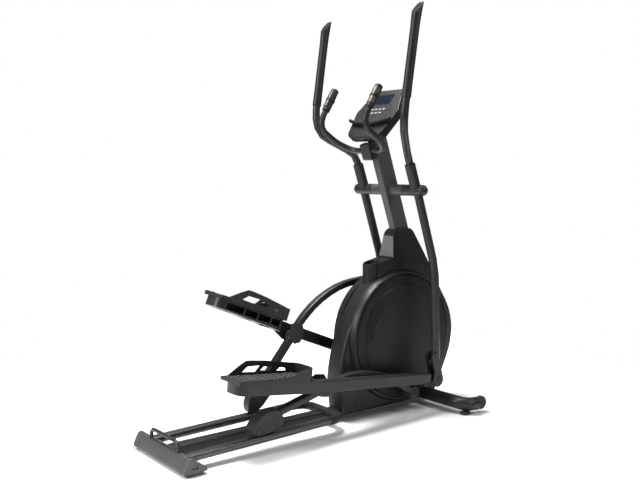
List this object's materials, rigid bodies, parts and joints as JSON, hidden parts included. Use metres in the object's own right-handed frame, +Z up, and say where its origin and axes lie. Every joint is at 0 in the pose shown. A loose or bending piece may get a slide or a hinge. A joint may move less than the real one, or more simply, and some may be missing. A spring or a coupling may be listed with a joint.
{
  "type": "elliptical trainer",
  "caption": "Front-crank elliptical cross trainer with swinging arms, footplates on beams, curved roller links on twin rails, a leaning mast, fixed handlebar and tilted console.",
  "frame": {"origin": "on the floor, under the middle of the whole machine", "axes": "+X the way the user faces, towards the front stabilizer; +Y the user's left; +Z up"},
  "size_m": [1.4886, 0.656, 1.7105],
  "materials": {
    "frame_paint": "satin powder coat",
    "rail_paint": "semi-gloss",
    "foot_paint": "satin",
    "shell_plastic": "fine-grained satin",
    "panel_plastic": "matte",
    "soft_grip": "smooth foam",
    "tread_plastic": "ribbed",
    "bare_steel": "brushed",
    "rubber": "matte",
    "key_plastic": "silver coated",
    "display_glass": "glossy, opaque"
  },
  "bodies": {
    "base": {"base_frame": "frame_paint", "rear_stabilizer": "foot_paint", "carry_handle": "frame_paint", "front_stabilizer": "frame_paint", "mast": "frame_paint", "fixed_handlebar": "frame_paint", "handlebar_clamp": "frame_paint", "console_shell": "shell_plastic", "console_face": "shell_plastic", "lcd_screen": "display_glass", "console_shelf": "shell_plastic", "housing_right": "shell_plastic", "housing_left": "shell_plastic", "bottle_holder": "shell_plastic", "mast_cover": "panel_plastic", "drive_belt": "rubber", "brake_motor": "shell_plastic", "rail_right": "rail_paint", "rear_cap_right": "foot_paint", "front_foot_right": "rubber", "fixed_grip_right": "soft_grip", "pulse_plate_right": "bare_steel", "rail_left": "rail_paint", "rear_cap_left": "foot_paint", "front_foot_left": "rubber", "fixed_grip_left": "soft_grip", "pulse_plate_left": "bare_steel"},
    "crank": {"crank_axle": "bare_steel", "crank_disc_right": "shell_plastic", "crank_disc_left": "shell_plastic", "drive_pulley": "shell_plastic"},
    "flywheel": {"flywheel": "bare_steel"},
    "brake_arm": {"brake_arm": "bare_steel"},
    "arm_right": {"swing_arm_right": "frame_paint", "joint_boot_right": "shell_plastic", "upper_handle_right": "frame_paint", "handle_grip_right": "soft_grip"},
    "beam_right": {"pedal_beam_right": "frame_paint", "pedal_right": "tread_plastic"},
    "link_right": {"roller_link_right": "frame_paint", "roller_cover_right": "shell_plastic"},
    "roller_right": {"roller_right": "rubber"},
    "wheel_right": {"transport_wheel_right": "rubber"},
    "arm_left": {"swing_arm_left": "frame_paint", "joint_boot_left": "shell_plastic", "upper_handle_left": "frame_paint", "handle_grip_left": "soft_grip"},
    "beam_left": {"pedal_beam_left": "frame_paint", "pedal_left": "tread_plastic"},
    "link_left": {"roller_link_left": "frame_paint", "roller_cover_left": "shell_plastic"},
    "roller_left": {"roller_left": "rubber"},
    "wheel_left": {"transport_wheel_left": "rubber"},
    "key_1": {"key_1": "key_plastic"},
    "key_2": {"key_2": "key_plastic"},
    "key_3": {"key_3": "key_plastic"},
    "key_4": {"key_4": "key_plastic"},
    "key_5": {"key_5": "key_plastic"},
    "key_6": {"key_6": "key_plastic"},
    "key_7": {"key_7": "key_plastic"}
  },
  "joints": [
    {"name": "crank_turn", "type": "hinge", "parent": "base", "child": "crank", "pos_m": [0.40966, 0, 0.331], "axis": [0, 1, 0], "continuous": true},
    {"name": "flywheel_spin", "type": "hinge", "parent": "base", "child": "flywheel", "pos_m": [0.56066, 0, 0.39], "axis": [0, 1, 0], "continuous": true},
    {"name": "brake_arm_lift", "type": "hinge", "parent": "base", "child": "brake_arm", "pos_m": [0.52966, -0.0325, 0.525], "axis": [0, 1, 0], "range_deg": [-2, 0]},
    {"name": "right_arm_swing", "type": "hinge", "parent": "base", "child": "arm_right", "pos_m": [0.38466, -0.15, 0.967], "axis": [0, 1, 0], "range_deg": [-10, 10]},
    {"name": "right_beam_pivot", "type": "hinge", "parent": "arm_right", "child": "beam_right", "pos_m": [0.51319, -0.17, 0.14904], "axis": [0, 1, 0], "range_deg": [-8.3, 8.3]},
    {"name": "right_link_pivot", "type": "hinge", "parent": "beam_right", "child": "link_right", "pos_m": [-0.08905, -0.128, 0.18837], "axis": [0, 1, 0], "range_deg": [-2.4, 2.4]},
    {"name": "right_roller_spin", "type": "hinge", "parent": "link_right", "child": "roller_right", "pos_m": [-0.40232, -0.128, 0.08709], "axis": [0, 1, 0], "range_deg": [-323.4, 323.4]},
    {"name": "left_arm_swing", "type": "hinge", "parent": "base", "child": "arm_left", "pos_m": [0.38466, 0.15, 0.967], "axis": [0, 1, 0], "range_deg": [-10.6, 10.6]},
    {"name": "left_beam_pivot", "type": "hinge", "parent": "arm_left", "child": "beam_left", "pos_m": [0.51657, 0.17, 0.14957], "axis": [0, 1, 0], "range_deg": [-8.4, 8.4]},
    {"name": "left_link_pivot", "type": "hinge", "parent": "beam_left", "child": "link_left", "pos_m": [-0.05086, 0.128, 0.35516], "axis": [0, 1, 0], "range_deg": [-2.7, 2.7]},
    {"name": "left_roller_spin", "type": "hinge", "parent": "link_left", "child": "roller_left", "pos_m": [-0.246, 0.128, 0.08998], "axis": [0, 1, 0], "range_deg": [-319.1, 319.1]},
    {"name": "right_transport_wheel_spin", "type": "hinge", "parent": "base", "child": "wheel_right", "pos_m": [0.65466, -0.3, 0.042], "axis": [0, 1, 0], "continuous": true},
    {"name": "left_transport_wheel_spin", "type": "hinge", "parent": "base", "child": "wheel_left", "pos_m": [0.65466, 0.3, 0.042], "axis": [0, 1, 0], "continuous": true},
    {"name": "key_1_press", "type": "slide", "parent": "base", "child": "key_1", "axis": [0.7891, 0, -0.6143], "range_m": [0, 0.0015], "stiffness_N_per_m": 300, "springref_m": -0.001},
    {"name": "key_2_press", "type": "slide", "parent": "base", "child": "key_2", "axis": [0.7891, 0, -0.6143], "range_m": [0, 0.0015], "stiffness_N_per_m": 300, "springref_m": -0.001},
    {"name": "key_3_press", "type": "slide", "parent": "base", "child": "key_3", "axis": [0.7891, 0, -0.6143], "range_m": [0, 0.0015], "stiffness_N_per_m": 300, "springref_m": -0.001},
    {"name": "key_4_press", "type": "slide", "parent": "base", "child": "key_4", "axis": [0.7891, 0, -0.6143], "range_m": [0, 0.0015], "stiffness_N_per_m": 300, "springref_m": -0.001},
    {"name": "key_5_press", "type": "slide", "parent": "base", "child": "key_5", "axis": [0.7891, 0, -0.6143], "range_m": [0, 0.0015], "stiffness_N_per_m": 300, "springref_m": -0.001},
    {"name": "key_6_press", "type": "slide", "parent": "base", "child": "key_6", "axis": [0.7891, 0, -0.6143], "range_m": [0, 0.0015], "stiffness_N_per_m": 300, "springref_m": -0.001},
    {"name": "key_7_press", "type": "slide", "parent": "base", "child": "key_7", "axis": [0.7891, 0, -0.6143], "range_m": [0, 0.0015], "stiffness_N_per_m": 300, "springref_m": -0.001}
  ],
  "couplings": [
    {"joint": "flywheel_spin", "follows": "crank_turn", "ratio": 5.4167},
    {"joint": "left_arm_swing", "follows": "right_arm_swing", "ratio": -1.0393},
    {"joint": "right_beam_pivot", "follows": "right_arm_swing", "ratio": -0.80183},
    {"joint": "right_link_pivot", "follows": "right_arm_swing", "ratio": -0.21658},
    {"joint": "right_roller_spin", "follows": "right_arm_swing", "ratio": -32.314},
    {"joint": "left_beam_pivot", "follows": "right_arm_swing", "ratio": 0.81593},
    {"joint": "left_link_pivot", "follows": "right_arm_swing", "ratio": 0.24583},
    {"joint": "left_roller_spin", "follows": "right_arm_swing", "ratio": 31.883}
  ]
}
